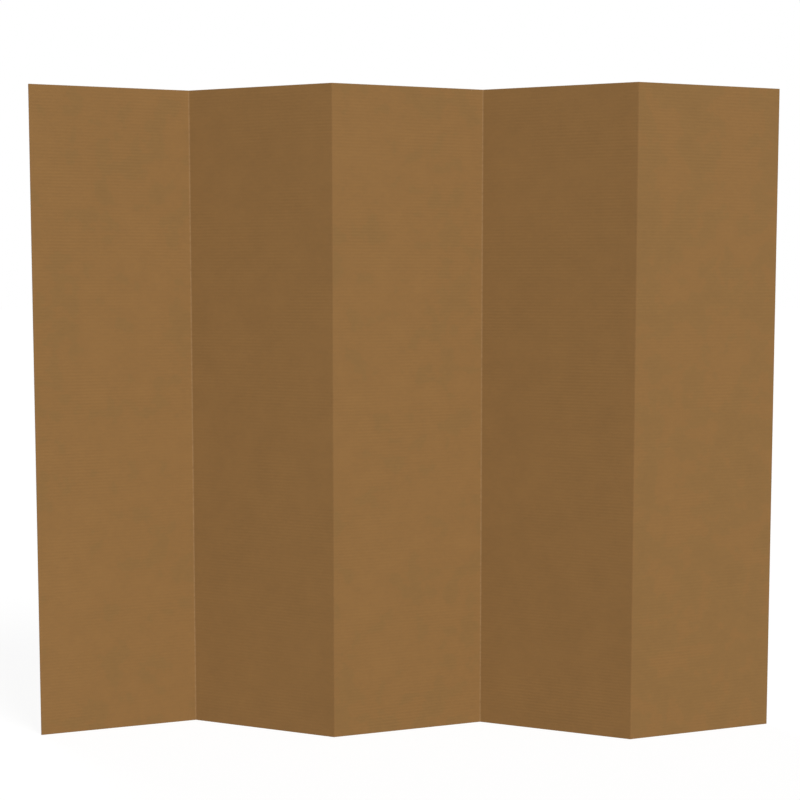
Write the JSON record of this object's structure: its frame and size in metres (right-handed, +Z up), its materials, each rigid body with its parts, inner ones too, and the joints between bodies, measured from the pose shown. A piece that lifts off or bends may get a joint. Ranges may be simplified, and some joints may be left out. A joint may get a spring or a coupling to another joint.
{
  "type": "folding screen",
  "caption": "Free-standing folding screen of kraft corrugated board, plain tall panels in a zigzag, hinged by upright scored folds.",
  "frame": {"origin": "on the floor, midway along the middle panel at the middle of its board, which is the middle of the standing screen", "axes": "+X across the screen from left to right as seen from the front, +Y from the front to the back, +Z up"},
  "size_m": [2.0576, 0.1576, 1.8],
  "materials": {
    "kraft_liner": "matte natural kraft facing with faint level ribs from the flutes",
    "fluting": "matte recycled fluting paper",
    "crushed_fluting": "fluting crushed flat by the score"
  },
  "bodies": {
    "panel_3": {"panel_3_front_liner": "kraft_liner", "panel_3_fluting": "fluting", "panel_3_back_liner": "kraft_liner", "fold_2_outer_liner": "kraft_liner", "fold_2_fluting": "crushed_fluting", "fold_2_inner_liner": "kraft_liner", "fold_3_outer_liner": "kraft_liner", "fold_3_fluting": "crushed_fluting", "fold_3_inner_liner": "kraft_liner"},
    "panel_2": {"panel_2_front_liner": "kraft_liner", "panel_2_fluting": "fluting", "panel_2_back_liner": "kraft_liner", "fold_1_outer_liner": "kraft_liner", "fold_1_fluting": "crushed_fluting", "fold_1_inner_liner": "kraft_liner"},
    "panel_1": {"panel_1_front_liner": "kraft_liner", "panel_1_fluting": "fluting", "panel_1_back_liner": "kraft_liner"},
    "panel_4": {"panel_4_front_liner": "kraft_liner", "panel_4_fluting": "fluting", "panel_4_back_liner": "kraft_liner", "fold_4_outer_liner": "kraft_liner", "fold_4_fluting": "crushed_fluting", "fold_4_inner_liner": "kraft_liner"},
    "panel_5": {"panel_5_front_liner": "kraft_liner", "panel_5_fluting": "fluting", "panel_5_back_liner": "kraft_liner"}
  },
  "joints": [
    {"name": "fold_2", "type": "hinge", "parent": "panel_3", "child": "panel_2", "pos_m": [-0.20577, -0.07354, 0], "axis": [0, 0, -1], "range_deg": [-40.8, 139.2], "deforming": ["fold_2_outer_liner", "fold_2_fluting", "fold_2_inner_liner"]},
    {"name": "fold_1", "type": "hinge", "parent": "panel_2", "child": "panel_1", "pos_m": [-0.61732, 0.07354, 0], "axis": [0, 0, 1], "range_deg": [-40.8, 139.2], "deforming": ["fold_1_outer_liner", "fold_1_fluting", "fold_1_inner_liner"]},
    {"name": "fold_3", "type": "hinge", "parent": "panel_3", "child": "panel_4", "pos_m": [0.20577, 0.07354, 0], "axis": [0, 0, -1], "range_deg": [-40.8, 139.2], "deforming": ["fold_3_outer_liner", "fold_3_fluting", "fold_3_inner_liner"]},
    {"name": "fold_4", "type": "hinge", "parent": "panel_4", "child": "panel_5", "pos_m": [0.61732, -0.07354, 0], "axis": [0, 0, 1], "range_deg": [-40.8, 139.2], "deforming": ["fold_4_outer_liner", "fold_4_fluting", "fold_4_inner_liner"]}
  ],
  "couplings": [
    {"joint": "fold_3", "follows": "fold_2", "ratio": 1}
  ]
}
